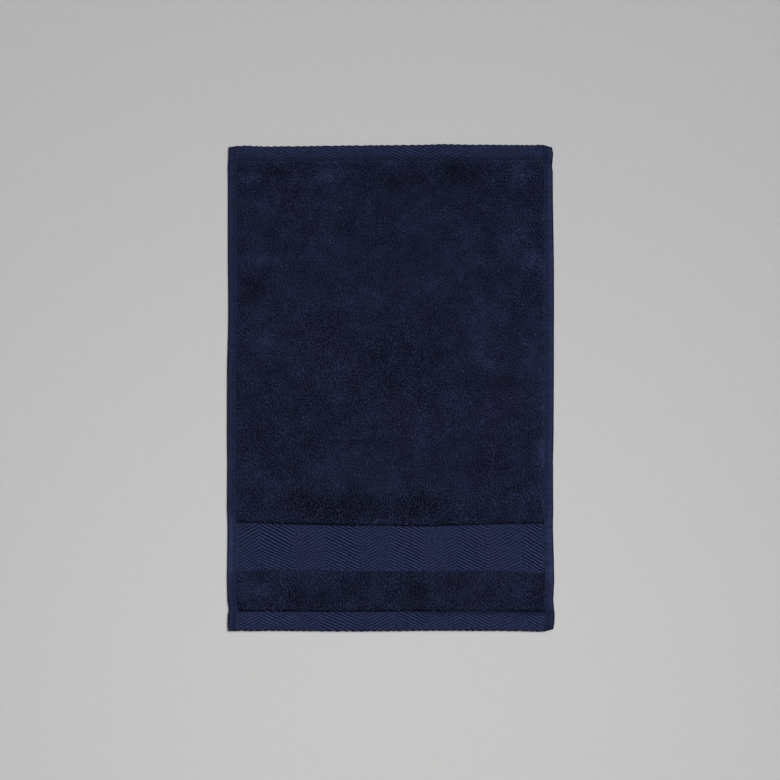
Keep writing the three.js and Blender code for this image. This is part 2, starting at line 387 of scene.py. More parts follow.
# ---- Building a closed skin out of grids and the strips between them ----
class Skin:
    """Points and triangles of one closed surface, on the even rectangle."""

    def __init__(self):
        self.points = []
        self.triangles = []
        self.looks = []
        self.count = 0

    def add_points(self, x, y, z):
        x, y, z = np.broadcast_arrays(x, y, z)
        index = np.arange(self.count, self.count + x.size).reshape(x.shape)
        self.points.append(np.column_stack([x.ravel(), y.ravel(), z.ravel()]))
        self.count += x.size
        return index

    def add_triangles(self, triangles, look):
        triangles = np.asarray(triangles).reshape(-1, 3)
        a, b, c = triangles.T
        kept = triangles[(a != b) & (b != c) & (c != a)]
        self.triangles.append(kept)
        self.looks.append(np.full(len(kept), look))

    def add_grid(self, index, look, flip=False):
        a, b = index[:-1, :-1].ravel(), index[:-1, 1:].ravel()
        c, d = index[1:, 1:].ravel(), index[1:, :-1].ravel()
        triangles = np.concatenate([np.column_stack([a, b, c]), np.column_stack([a, c, d])])
        self.add_triangles(triangles[:, ::-1] if flip else triangles, look)

    def zip(self, right, left, axis, look, flip=False):
        """Fills the strip between two rows of points that run the same way."""
        points = np.concatenate(self.points)
        right_at, left_at = points[right, axis], points[left, axis]
        triangles = []
        i = j = 0
        while i < len(right) - 1 or j < len(left) - 1:
            left_done = j == len(left) - 1
            right_done = i == len(right) - 1
            if left_done or (not right_done and right_at[i + 1] <= left_at[j + 1]):
                triangles.append((right[i], right[i + 1], left[j]))
                i += 1
            else:
                triangles.append((right[i], left[j + 1], left[j]))
                j += 1
        triangles = np.array(triangles)
        self.add_triangles(triangles[:, ::-1] if flip else triangles, look)

    def arrays(self):
        points = np.concatenate(self.points)
        triangles = np.concatenate(self.triangles)
        used, renumbered = np.unique(triangles, return_inverse=True)
        return points[used], renumbered.reshape(-1, 3), np.concatenate(self.looks)


def new_mesh_object(name, points, triangles, looks=None):
    mesh = bpy.data.meshes.new(name)
    mesh.vertices.add(len(points))
    mesh.vertices.foreach_set("co", np.ascontiguousarray(points, dtype=np.float32).ravel())
    mesh.loops.add(triangles.size)
    mesh.loops.foreach_set("vertex_index", triangles.astype(np.int32).ravel())
    mesh.polygons.add(len(triangles))
    starts = np.arange(0, triangles.size, 3, dtype=np.int32)
    mesh.polygons.foreach_set("loop_start", starts)
    mesh.polygons.foreach_set("use_smooth", np.full(len(triangles), True))
    if looks is not None:
        mesh.polygons.foreach_set("material_index", looks.astype(np.int32))
    mesh.update(calc_edges=True)
    mesh.validate()
    piece = bpy.data.objects.new(name, mesh)
    bpy.context.collection.objects.link(piece)
    return piece


def spindle_triangles(points, sides):
    """The triangles of many spindles, each a tip, its rings of points and another tip."""
    count, size = points.shape[:2]
    rings = np.arange(1, size - 1).reshape(-1, sides)
    triangles = []
    for side in range(sides):
        after = (side + 1) % sides
        triangles.append((0, rings[0][after], rings[0][side]))
        for low, high in zip(rings[:-1], rings[1:]):
            triangles.append((low[side], low[after], high[after]))
            triangles.append((low[side], high[after], high[side]))
        triangles.append((size - 1, rings[-1][side], rings[-1][after]))
    starts = size * np.arange(count)[:, None, None]
    return (np.array(triangles)[None] + starts).reshape(-1, 3)


def add_flat_map(piece, points):
    """A bake map seen from straight above, so that touching loops share their colour."""
    mesh = piece.data
    corner = np.empty(len(mesh.loops), dtype=np.int32)
    mesh.loops.foreach_get("vertex_index", corner)
    low, high = points[:, :2].min(axis=0), points[:, :2].max(axis=0)
    flat = (points[:, :2] - low) / (high - low).max()
    layer = mesh.uv_layers.new(name="OFBake")
    layer.data.foreach_set("uv", flat[corner].astype(np.float32).ravel())


# ---- The cloth: ground, band, hems and underside in one closed skin ----
LOOK_WEAVE, LOOK_HEM, LOOK_GROUND, LOOK_UNDER = range(4)

GROUND_STEP = 2.7
RIB_COLUMN_STEP = 1.36
GROUND_HEIGHT = 2.5

# Painted shade and light across one rib, from the middle of one groove to the next: darkest
# in the groove and on the rib's near side, palest on its far flank, which faces the light.
RIB_PAINTED_SHADE = table("phase tone", [
    (0.0, 0.0),
    (0.14, 0.0),
    (0.26, 0.6),
    (0.5, 0.85),
    (0.72, 1.0),
    (0.85, 0.7),
    (1.0, 0.0),
])
MIDDLE_TONE = 0.6

# How strongly the ribs show in each zone, left and right of each point of the chevron.
# They follow ratios of contrast that a scratch script printed.
# They scale both the ribs' relief and their painted shade, so part of the left and right
# difference is painted shade.
RIB_STRENGTHS = table("point far_left far_right band_left band_right near_left near_right", [
    (-2, 0.58, 0.47, 1.4, 1.27, 1.1, 1.3),
    (-1, 0.6, 0.45, 1.0, 1.28, 1.1, 1.52),
    (0, 0.86, 0.63, 1.2, 1.24, 1.4, 1.3),
    (1, 0.93, 0.36, 1.03, 1.04, 1.2, 1.05),
    (2, 0.6, 0.46, 1.07, 1.14, 1.0, 0.9),
])
# How far, in millimetres, the ribs that start at each fold are out of step with an even
# weave. They follow differences that a scratch script printed.
RIB_OFFSETS = table("fold far band near", [
    (-5, -1.5, -1.9, -3.8),
    (-4, 0.2, 0.1, -2.1),
    (-3, -0.5, -0.6, -1.9),
    (-2, -0.6, -0.4, -3.0),
    (-1, -1.0, -0.2, -1.5),
    (0, -2.0, 0.4, -1.9),
    (1, -1.5, -1.2, -2.0),
    (2, -1.2, -1.4, -3.3),
    (3, -1.2, -1.6, -3.8),
    (4, 0.3, -1.9, -1.6),
])
RIB_ROWS = RIB_PAINTED_SHADE["phase"][:-1]
ZONE_NAMES = ("far", "band", "near")
FOLD_WIDTH = 40.0
RIB_STEP_REACH = 1.2
FOLD_BREAK, FOLD_BREAK_REACH = 0.5, 2
EDGE_BREAK, EDGE_BREAK_REACH = 0.8, 4
SPARE_RIBS_NEAR, SPARE_RIBS_FAR = 3, 2

# How pale the side hems are across their width, with two columns for the place beside the band.
# They follow brightness that a scratch script printed, and are mostly a photo pixel apart.
# These tones are painted light and shade: a dark rim along the rolled edge, the right hem lit more
# than the left, shadow on the left hem's inner part beside the pile, and a highlight beside the
# band.
SIDE_HEM_PAINTED_LIGHT = table("inset left right left_band right_band", [
    (1.2, 0.5, 0.35, 0.4, 0.35),
    (1.5, 0.74, 0.5, 0.85, 0.55),
    (1.9, 1.06, 1.35, 1.5, 1.5),
    (2.8, 1.14, 1.44, 1.75, 1.65),
    (4.3, 1.12, 1.35, 2.0, 1.56),
    (5.5, 1.02, 1.24, 1.7, 1.48),
    (6.7, 0.8, 1.08, 1.3, 1.4),
    (8.0, 0.7, 0.92, 1.03, 1.2),
    (9.2, 0.8, 0.9, 1.0, 1.2),
    (10.4, 1.08, 1.02, 1.1, 1.25),
    (11.5, 1.15, 1.15, 1.0, 1.2),
])
BESIDE_BAND = 14.0
# How pale the far end hem is across its width, from brightness printed in the same way.
# These tones are painted light and shade: paler near the outer edge, and darker towards the seam
# beside the pile.
FAR_HEM_PAINTED_LIGHT = table("inset tone", [
    (1.6, 0.9),
    (2.6, 1.2),
    (5.0, 1.04),
    (8.0, 1.0),
    (12.3, 0.94),
    (14.8, 0.81),
    (16.5, 0.68),
    (20.0, 0.6),
])
# A painted shadow along the near end hem's sewn line, which fades out to the left.
SEAM_SHADE, SEAM_SHADE_WIDTH = 0.4, 6.0
SEAM_SHADE_START, SEAM_SHADE_FULL = 15.0, 60.0
# The side hems' tone at the near corners, which fades out a little above the seam.
LEFT_CORNER_TONE, RIGHT_CORNER_TONE = 0.9, 0.74
CORNER_MARGIN, CORNER_REACH = 1.0, 6
# Painted shade along the outermost rim of both end hems.
END_EDGE_SHADE, END_EDGE_START, END_EDGE_END = 0.5, 1.2, 1.9
# Painted shade on the ground between the loops, and what darkens it further.
GROUND_SHADE_TONE, STANDING_SHADE, NAP_SHADE = 0.66, 0.25, 0.3
CREASE_SHADE, CREASE_SHADE_REACH = 0.55, 6
CREASE_WIDTH, CREASE_HEIGHT, CREASE_MARGIN = 2.6, 0.9, 0.4
SEWN_DIP, SEWN_DIP_REACH = 0.35, 0.9
SEAM_DIP, SEAM_DIP_REACH = 0.3, 0.8
PUCKER_STRETCH = 0.35
RIPPLE_SHARE, RIPPLE_REACH = 0.7, 1.4
PRESSED_HEIGHT, FLAT_HEIGHT, PRESSED_MARGIN, UNDERSIDE_MARGIN = 0.28, 0.5, 1, 2.4
SEAM_MARGIN = 0.3


def steps(start, end, step):
    return np.linspace(start, end, max(1, round((end - start) / step)) + 1)


def by_zone(y, far, band, near):
    """The value for the ribbed zone that each place is in."""
    return np.where(y > BAND_FAR, far, np.where(y < BAND_NEAR, near, band))


def fold_at(x, y):
    """How many folds of its zone's chevron a place is from the middle point."""
    return by_zone(y, *(np.interp(x, FOLDS[zone], FOLDS["fold"]) for zone in ZONE_NAMES))


def rib_offset(zone, x):
    """The offset of the ribs around each place, stepping from one to the next at each fold."""
    fold = np.interp(x, FOLDS[zone], FOLDS["fold"])
    nearest = np.round(fold)
    before, after = (read(RIB_OFFSETS, nearest - back, zone) for back in (1, 0))
    beyond = (fold - nearest) * FOLD_WIDTH - RIB_STEP_REACH
    past = np.where(beyond > 0, 1, fade(beyond, 2 * RIB_STEP_REACH))
    return before + (after - before) * past


def chevron_drop(x, y):
    fold = fold_at(x, y)
    pulled = noise_across("broad_pull", x) + noise_across("small_pull", x)
    pulled = pulled + by_zone(y, *(rib_offset(zone, x) for zone in ZONE_NAMES))
    return CHEVRON_DROP * np.abs(fold - 2 * np.round(fold / 2)) + pulled


def rib_phase(x, y):
    """Place across a rib from 0 to 1, from the middle of one groove to the next."""
    return ((y + chevron_drop(x, y) - RIB_MIDDLE) / RIB_PITCH + 0.5) % 1


def rib_height(x, y):
    across = np.abs(rib_phase(x, y) - 0.5) / (RIB_SHARE / 2)
    return RIB_RISE * np.sqrt(np.clip(1 - across**2, 0, 1))


def rib_strength(x, y):
    """How strongly the ribs show around 1: unevenly, and broken where they change direction."""
    fold = fold_at(x, y)
    point = 2 * np.round(fold / 2)
    row = np.clip(point / 2 - RIB_STRENGTHS["point"][0], 0, len(RIB_STRENGTHS) - 1).astype(int)
    strengths = RIB_STRENGTHS[row]
    sides = [np.where(fold > point, strengths[zone + "_right"], strengths[zone + "_left"])
             for zone in ZONE_NAMES]
    from_fold = (fold - np.round(fold)) * FOLD_WIDTH
    uneven = 1 + noise("yarn_strength", x, y) + noise("broad_strength", x, y)
    at_fold = 1 - FOLD_BREAK * fade(from_fold, FOLD_BREAK_REACH)
    at_edge = 1 - EDGE_BREAK * fade(INNER_HALF - np.abs(x), EDGE_BREAK_REACH)
    return by_zone(y, *sides) * uneven * (at_fold * at_edge)


def rib_painted_shade(x, y):
    """Painted shade and light across each rib, palest on the far flank that faces the light."""
    tone = read(RIB_PAINTED_SHADE, rib_phase(x, y), "tone")
    return MIDDLE_TONE + (tone - MIDDLE_TONE) * rib_strength(x, y)


def side_hem_height(y):
    at_corner = (y > FAR_SEAM) | (y < NEAR_SEAM)
    return np.where(at_corner, HEM_CORNER_THICK, SIDE_HEM_THICK)


def end_hem_height(x, y):
    """The end hem's face without its ribs: it dips along its sewn line."""
    inset = np.where(y > 0, y - FAR_SEAM, NEAR_SEAM - y)
    sewn = SEWN_DIP * fade(inset - END_STITCH_INSET, SEWN_DIP_REACH)
    return END_HEM_THICK - (sewn + SEAM_DIP * fade(inset, SEAM_DIP_REACH))


def band_height(x, y):
    return np.full(np.broadcast(x, y).shape, BAND)


def side_hem_painted_light(x, y):
    """Painted light and shade on the side hems: paler beside the band, darker at the near corners.
    """
    inset = HALF_WIDTH - np.abs(x)
    left, right, left_band, right_band = (
        read(SIDE_HEM_PAINTED_LIGHT, inset, column) for column in SIDE_HEM_PAINTED_LIGHT.dtype.names[1:]
    )
    past_band = np.maximum(y - BAND_FAR, BAND_NEAR - y)
    at_band = fade(np.maximum(past_band, 0), BESIDE_BAND)
    side = np.where(x < 0, left + (left_band - left) * at_band,
                    right + (right_band - right) * at_band)
    at_near_corner = fade(np.maximum(y - NEAR_SEAM - CORNER_MARGIN, 0), CORNER_REACH)
    corner = np.where(x < 0, LEFT_CORNER_TONE, RIGHT_CORNER_TONE)
    return side * (1 - at_near_corner * (1 - corner))


def ground_painted_shade(x, y, above_crease):
    """Painted shade on the ground deep between the loops, darkest in the crease."""
    tone = (GROUND_SHADE_TONE - STANDING_SHADE * standing(x, y)) * NAP_SHADE ** nap(x, y)
    deep = CREASE_SHADE + noise_across("crease_shade", x)
    return tone * (1 - deep * fade(above_crease, CREASE_SHADE_REACH))


def weave_painted_light(x, y):
    """Painted light and shade on the ribbed zones, each as a whole."""
    far_hem = read(FAR_HEM_PAINTED_LIGHT, HALF_LENGTH - y, "tone")
    seam_shade = SEAM_SHADE * np.interp(x, (SEAM_SHADE_START, SEAM_SHADE_FULL), (0, 1))
    near_hem = 1 - seam_shade * fade(np.maximum(NEAR_SEAM - y, 0), SEAM_SHADE_WIDTH)
    return by_zone(y, far_hem, 1.0, near_hem)


def shade(x, y):
    """The cloth's painted light and shade at each place."""
    in_strip = (y > NEAR_SEAM) & (y < BAND_NEAR)
    in_field = (y > BAND_FAR) & (y < FAR_SEAM)
    painted_shade_between_loops = ground_painted_shade(x, y, y - np.where(in_strip, NEAR_SEAM, BAND_FAR))
    rim_shade = np.interp(HALF_LENGTH - np.abs(y), (END_EDGE_START, END_EDGE_END), (END_EDGE_SHADE, 1))
    face = np.where(in_strip | in_field, painted_shade_between_loops, weave_painted_light(x, y) * rim_shade)
    return np.where(HALF_WIDTH - np.abs(x) < SIDE_HEM, side_hem_painted_light(x, y) * rim_shade, face)


def ribbed_zone(skin, zone, near_line, far_line, ground):
    """A flat zone with raised chevron ribs. Its rows follow the ribs, and the rows that
    would leave the zone are gathered on its border."""
    corners = np.concatenate([[-INNER_HALF], FOLDS[zone][1:-1], [INNER_HALF]])
    runs = [steps(a, b, RIB_COLUMN_STEP)[:-1] for a, b in zip(corners[:-1], corners[1:])]
    x = np.append(np.concatenate(runs), INNER_HALF)
    first = math.floor(near_line / RIB_PITCH) - SPARE_RIBS_NEAR
    last = math.ceil((far_line + CHEVRON_DROP) / RIB_PITCH) + SPARE_RIBS_FAR
    ribs = np.arange(first, last + 1)[:, None]
    levels = ((ribs + RIB_ROWS - 0.5) * RIB_PITCH + RIB_MIDDLE).ravel()
    drop = chevron_drop(x, (near_line + far_line) / 2)
    y = np.clip(levels[:, None] - drop, near_line, far_line)
    relief = rib_height(x, y) * rib_strength(x, y)
    index = skin.add_points(x, y, ground(x, y) + relief + cloth_waves(x, y))
    lowest = (y <= near_line).sum(axis=0) - 1
    highest = len(levels) - (y >= far_line).sum(axis=0)
    row = np.clip(np.arange(len(levels))[:, None], lowest, highest)
    index = np.take_along_axis(index, row, axis=0)
    skin.add_grid(index, LOOK_WEAVE)
    sides = [index[lowest[i]:highest[i] + 1, i] for i in (0, -1)]
    return {"near": index[0], "far": index[-1], "left": sides[0], "right": sides[1]}


def ground_zone(skin, near_line, far_line):
    """The cloth that carries the pile, hidden deep between the loops."""
    x = steps(-INNER_HALF, INNER_HALF, 2 * GROUND_STEP)[None, :]
    y = steps(near_line + CREASE_WIDTH, far_line - PILE_FOOT, 2 * GROUND_STEP)
    y = np.concatenate([[near_line + CREASE_MARGIN], y])[:, None]
    z = np.full(np.broadcast(x, y).shape, GROUND_HEIGHT)
    z[0] = CREASE_HEIGHT + noise_across("crease_depth", x[0])
    index = skin.add_points(x, y, z)
    skin.add_grid(index, LOOK_GROUND)
    return {"near": index[0], "far": index[-1], "left": index[:, 0], "right": index[:, -1]}


def side_hem(skin, side, along):
    """One long hem, from its rolled edge to its inner fold."""
    section = SIDE_HEM_SECTION[::-1] if side > 0 else SIDE_HEM_SECTION
    xx, yy = np.meshgrid(side * (HALF_WIDTH - section["inset"]), along)
    pucker = noise("hem_puckers", PUCKER_STRETCH * xx, yy) + noise("hem_waves", xx, yy)
    z = side_hem_height(yy) + section["lift"] + pucker
    index = skin.add_points(xx, yy, z)
    skin.add_grid(index, LOOK_HEM)
    return index


def rolled_edge(skin, across, along):
    """The loops of the rolled edge, from the near left corner around the towel."""
    x = np.concatenate([
        across, np.full(len(along) - 1, HALF_WIDTH), across[-2::-1],
        np.full(len(along) - 2, -HALF_WIDTH),
    ])
    y = np.concatenate([
        np.full(len(across), -HALF_LENGTH), along[1:],
        np.full(len(across) - 1, HALF_LENGTH), along[-2:0:-1],
    ])
    on_end_hem = (np.abs(x) < INNER_HALF) & (np.abs(y) == HALF_LENGTH)
    height = np.where(on_end_hem, END_HEM_THICK, side_hem_height(y))
    ripple = np.where(on_end_hem, RIB_RISE - rib_height(x, y), 0) * RIPPLE_SHARE
    loops = []
    for level in ROLLED_EDGE:
        inset = level["inset"] + ripple * fade(level["inset"], RIPPLE_REACH)
        loops.append(skin.add_points(
            np.clip(x, -HALF_WIDTH + inset, HALF_WIDTH - inset),
            np.clip(y, -HALF_LENGTH + inset, HALF_LENGTH - inset),
            level["share"] * height,
        ))
    closed = np.column_stack([np.array(loops), np.array(loops)[:, :1]])
    skin.add_grid(closed, LOOK_HEM)
    return loops


def loop_sides(loop, columns, rows):
    """The four sides of a loop, each in rising order."""
    right, left = columns + rows - 1, 2 * columns + rows - 2
    return {
        "near": loop[:columns],
        "right": loop[columns - 1:right],
        "far": loop[right - 1:left][::-1],
        "left": np.append(loop[left - 1:], loop[0])[::-1],
    }


def underside_height(x, y):
    """The face that lies on the floor: loops pressed flat, with the flat zones above."""
    inset = np.minimum(INNER_HALF - np.abs(x), np.minimum(FAR_SEAM - y, y - NEAR_SEAM))
    inset = np.minimum(inset, np.maximum(y - BAND_FAR, BAND_NEAR - y))
    looped = PRESSED_HEIGHT + noise("pressed_loops", x, y) + noise("pressed_clumps", x, y)
    return np.where(inset > PRESSED_MARGIN, looped, FLAT_HEIGHT)


def underside(skin, edge, across, along):
    half_x, half_y = HALF_WIDTH - UNDERSIDE_MARGIN, HALF_LENGTH - UNDERSIDE_MARGIN
    x, y = np.clip(across, -half_x, half_x)[1:-1], np.clip(along, -half_y, half_y)[1:-1]
    xx, yy = np.meshgrid(x, y)
    index = skin.add_points(xx, yy, underside_height(xx, yy))
    skin.add_grid(index, LOOK_UNDER, flip=True)
    skin.zip(edge["near"], index[0], 0, LOOK_UNDER, flip=True)
    skin.zip(index[-1], edge["far"], 0, LOOK_UNDER, flip=True)
    skin.zip(index[:, 0], edge["left"], 1, LOOK_UNDER, flip=True)
    skin.zip(edge["right"], index[:, -1], 1, LOOK_UNDER, flip=True)


def woven_zones(skin):
    """The zones between the side hems, from the near end to the far end."""
    zones = [
        ribbed_zone(skin, "near", -HALF_LENGTH + HEM_MARGIN, NEAR_SEAM, end_hem_height),
        ground_zone(skin, NEAR_SEAM, BAND_NEAR),
        ribbed_zone(skin, "band", BAND_NEAR, BAND_FAR, band_height),
        ground_zone(skin, BAND_FAR, FAR_SEAM),
        ribbed_zone(skin, "far", FAR_SEAM, HALF_LENGTH - HEM_MARGIN, end_hem_height),
    ]
    for low, high in zip(zones[:-1], zones[1:]):
        skin.zip(low["far"], high["near"], 0, LOOK_GROUND)
    return zones


def edge_columns():
    """The places across the cloth at which the outer edge has points."""
    inner = steps(-INNER_HALF, INNER_HALF, GROUND_STEP)[1:-1]
    fold = HALF_WIDTH - SIDE_HEM
    return np.concatenate([[-HALF_WIDTH, -fold], inner, [fold, HALF_WIDTH]])


def hem_rows():
    """The places along the cloth at which the side hems have points."""
    end, inner_end = HALF_LENGTH - HEM_MARGIN, HALF_LENGTH - 2 * HEM_MARGIN
    near_hem = steps(-inner_end, NEAR_SEAM - SEAM_MARGIN, GROUND_STEP)
    between = steps(NEAR_SEAM + SEAM_MARGIN, FAR_SEAM - SEAM_MARGIN, GROUND_STEP)
    far_hem = steps(FAR_SEAM + SEAM_MARGIN, inner_end, GROUND_STEP)
    return np.concatenate([[-end], near_hem, between, far_hem, [end]])


def join_side_hems(skin, zones, rows, top):
    """Both side hems, joined to the zones between them and to the rolled edge around them."""
    left, right = side_hem(skin, -1, rows), side_hem(skin, 1, rows)
    left_chain = np.concatenate([zone["left"] for zone in zones])
    right_chain = np.concatenate([zone["right"] for zone in zones])
    skin.zip(left_chain, left[:, -1], 1, LOOK_HEM)
    skin.zip(right[:, 0], right_chain, 1, LOOK_HEM)
    skin.zip(left[:, 0], top["left"], 1, LOOK_HEM)
    skin.zip(top["right"], right[:, -1], 1, LOOK_HEM)
    near_row = np.concatenate([left[0], zones[0]["near"], right[0]])
    far_row = np.concatenate([left[-1], zones[-1]["far"], right[-1]])
    skin.zip(top["near"], near_row, 0, LOOK_HEM)
    skin.zip(far_row, top["far"], 0, LOOK_HEM)


def build_cloth():
    skin = Skin()
    zones = woven_zones(skin)
    across, rows = edge_columns(), hem_rows()
    along = np.concatenate([[-HALF_LENGTH], rows, [HALF_LENGTH]])
    loops = rolled_edge(skin, across, along)
    bottom, top = (loop_sides(loops[i], len(across), len(along)) for i in (0, -1))
    underside(skin, bottom, across, along)
    join_side_hems(skin, zones, rows, top)

    points, triangles, looks = skin.arrays()
    piece = new_mesh_object("cloth", laid_points(points), triangles, looks)
    x, y = points[:, 0], points[:, 1]
    # Painted shade across the ribs, and painted light and shade over the hems and between the
    # loops.
    store_number(piece, "rise", rib_painted_shade(x, y))
    store_number(piece, "shade", shade(x, y))
    return piece


# ---- The pile: real loops of yarn, closed and tapered down into the ground ----
LOOP_ACROSS, LOOP_ALONG = 2.12, 2.28
LOOP_HALF_SPAN = 1.2
LOOP_RADIUS = 0.62
LOOP_FOOT_DEPTH = 0.5
LOOP_SCATTER = 0.36
# How far in from a zone's edges the loops stand.
LEFT_MARGIN, RIGHT_MARGIN, SIDE_CLEARANCE = 0.7, 0.4, 0.1
NEAR_MARGIN, FAR_MARGIN, FIRST_ROW = -0.3, 0.5, 0.5

# Stations along a loop, from foot to foot: place across its span, share of its height,
# and share of its thickness (the feet are points).
LOOP_STATIONS = table("span rise thick", [
    (-1.0, 0.0, 0.0),
    (-0.68, 0.72, 0.92),
    (0.0, 1.0, 1.0),
    (0.68, 0.72, 0.92),
    (1.0, 0.0, 0.0),
])
LOOP_SIDES = 3
# How the tips vary, and sink at a zone's open edges.
TIP_SPREAD, TIP_NAP_DROP, TIP_LIMIT = 0.18, 0.3, 0.75
SHOULDER_DROP, SHOULDER_REACH = 0.26, 3.2
# How the loops lean: at random, with the nap, and out over the open edges.
LEAN_SPREAD, NAP_LEAN, LIGHT_SIDE = 0.35, 0.8, 0.7
EDGE_LEAN, EDGE_LEAN_REACH = 0.8, 4
# Along the near edge the loops lean less and turn to stand in line.
NEAR_HOLD, NEAR_REACH, TURN_SPREAD = 0.8, 6, 0.65
NAP_THINNING, STANDING_THINNING = 0.12, 0.1
SPAN_RANGE, RADIUS_RANGE, TWIST_RANGE = (0.8, 1.2), (0.82, 1.16), (-0.5, 0.5)
LOWEST_POINT = 0.2


def loop_places(near_line, far_line, random):
    """Where the loops of a zone stand, row after row, each a little off its grid."""
    x = np.arange(-INNER_HALF + LEFT_MARGIN, INNER_HALF - RIGHT_MARGIN, LOOP_ACROSS)
    y = np.arange(near_line + CREASE_WIDTH + NEAR_MARGIN, far_line - FAR_MARGIN, LOOP_ALONG)
    xx, yy = np.meshgrid(x, y)
    xx[1::2] += LOOP_ACROSS / 2
    xx = xx + random.uniform(-LOOP_SCATTER, LOOP_SCATTER, xx.shape) * LOOP_ACROSS
    yy = yy + random.uniform(-LOOP_SCATTER, LOOP_SCATTER, xx.shape) * LOOP_ALONG
    first_line = near_line + CREASE_WIDTH + FIRST_ROW + noise_across("first_row", xx)
    inside = (np.abs(xx) < INNER_HALF - SIDE_CLEARANCE) & (yy > first_line)
    return xx[inside], yy[inside]


def loop_tips(x, y, zone, turned, stands, random):
    """How high the loops reach."""
    open_edge = np.minimum(INNER_HALF - np.abs(x), zone["far"] - y)
    shoulder = 1 - SHOULDER_DROP * fade(np.maximum(open_edge, 0), SHOULDER_REACH)
    uneven = stands * (noise("clumps", x, y) + random.normal(0, TIP_SPREAD, len(x)))
    tip = PILE + swell(x, y) - TIP_NAP_DROP * turned + uneven
    return np.minimum(BAND + (tip - BAND) * shoulder, PILE + TIP_LIMIT)


def loop_leans(x, y, zone, turned, stands, random):
    """How far the tops of the loops lean, across and along the cloth."""
    across, along = (
        stands * (noise(name, x, y) + random.normal(0, LEAN_SPREAD, len(x)))
        + NAP_LEAN * turned * LIGHT_SIDE
        for name in ("lean_across", "lean_along")
    )
    along = along * (1 - NEAR_HOLD * fade(y - zone["near"], NEAR_REACH))
    outward = EDGE_LEAN + noise("edge_lean", x, y)
    across = across + outward * np.sign(x) * fade(INNER_HALF - np.abs(x), EDGE_LEAN_REACH)
    along = along + outward * fade(zone["far"] - y, EDGE_LEAN_REACH)
    return np.column_stack([across, along, np.zeros(len(x))])


def pile_piece(name, x, y, zone, random):
    """Loops at the given places of a pile zone, joined into one mesh."""
    count = len(x)
    turned, stands = nap(x, y), standing(x, y)
    tip = loop_tips(x, y, zone, turned, stands, random)
    leans = loop_leans(x, y, zone, turned, stands, random)
    in_line = math.pi / 2 * (1 - fade(y - zone["near"], NEAR_REACH))
    angle = in_line + random.normal(0, TURN_SPREAD, count)
    spread = 1 - NAP_THINNING * turned - STANDING_THINNING * (stands - 1)
    half_span = LOOP_HALF_SPAN * spread * random.uniform(*SPAN_RANGE, count)
    radius = LOOP_RADIUS * spread * random.uniform(*RADIUS_RANGE, count)

    along = np.column_stack([np.cos(angle), np.sin(angle), np.zeros(count)])
    beside = np.column_stack([-np.sin(angle), np.cos(angle), np.zeros(count)])
    foot = GROUND_HEIGHT - LOOP_FOOT_DEPTH
    height = tip - radius - foot
    points = []
    feet_shade_rises = []
    for station in LOOP_STATIONS:
        middle = np.column_stack([x, y, foot + height * station["rise"]]) + leans * station["rise"]
        middle = middle + along * (half_span * station["span"])[:, None]
        if station["thick"] == 0:
            points.append(middle)
            feet_shade_rises.append(np.zeros(count))
            continue
        outward = UP + along * station["span"]
        outward /= np.linalg.norm(outward, axis=1)[:, None]
        twist = random.uniform(*TWIST_RANGE, count)
        for side in range(LOOP_SIDES):
            turn = math.pi / 2 + 2 * math.pi * side / LOOP_SIDES + twist
            ring = beside * np.cos(turn)[:, None] + outward * np.sin(turn)[:, None]
            points.append(middle + ring * (radius * station["thick"])[:, None])
            feet_shade_rises.append(np.full(count, station["rise"]))
    points = np.stack(points, axis=1)
    triangles = spindle_triangles(points, LOOP_SIDES)
    flat_points = points.reshape(-1, 3)
    flat_points[:, 2] = np.maximum(flat_points[:, 2], LOWEST_POINT)
    piece = new_mesh_object(name, laid_points(flat_points), triangles)
    add_flat_map(piece, flat_points)
    # The rise of each point, stored for the painted shade that darkens each loop towards its feet.
    store_number(piece, "rise", np.stack(feet_shade_rises, axis=1).ravel())
    store_number(piece, "nap", np.repeat(turned, points.shape[1]))
    store_number(piece, "standing", np.repeat(stands, points.shape[1]))
    return piece


def store_number(piece, name, values):
    attribute = piece.data.attributes.new(name, "FLOAT", "POINT")
    attribute.data.foreach_set("value", values.astype(np.float32))


PILE_ZONES = table("near far pieces seed", [
    (NEAR_SEAM, BAND_NEAR, 1, 70),
    (BAND_FAR, FAR_SEAM, 4, 80),
])


def build_pile():
    """The loops of both pile zones, the longer zone in a few pieces to keep each one light."""
    pieces = []
    for zone in PILE_ZONES:
        random = np.random.default_rng(int(zone["seed"]))
        x, y = loop_places(zone["near"], zone["far"], random)
        for part in np.array_split(np.arange(len(x)), int(zone["pieces"])):
            name = f"pile_{len(pieces) + 1}"
            pieces.append(pile_piece(name, x[part], y[part], zone, random))
    return pieces


# ---- The sewn lines of the hems ----
STITCH_LENGTH, STITCH_GAP, STITCH_RADIUS = 2.5, 0.5, 0.24
STITCH_SIDES = 4
STITCH_SHARES, STITCH_DIP, STITCH_LIFT = (0.22, 0.78), 0.25, 0.06
SIDE_STITCH_SUNK, END_STITCH_SHARE = 0.3, 0.75
SIDE_STITCH_MARGIN, END_STITCH_MARGIN = 3, 1


def stitch_run(starts, ends):
    """Small spindles of thread between matching starts and ends."""
    along = ends - starts
    along = along / np.linalg.norm(along, axis=1)[:, None]
    beside = np.cross(UP, along)
    points = [starts - UP * STITCH_DIP]
    for share in STITCH_SHARES:
        middle = starts * (1 - share) + ends * share + UP * STITCH_LIFT
        for side in range(STITCH_SIDES):
            turn = math.pi / 4 + 2 * math.pi * side / STITCH_SIDES
            offset = beside * math.cos(turn) + UP * math.sin(turn)
            points.append(middle + offset * STITCH_RADIUS)
    points.append(ends - UP * STITCH_DIP)
    points = np.stack(points, axis=1)
    return points.reshape(-1, 3), spindle_triangles(points, STITCH_SIDES)


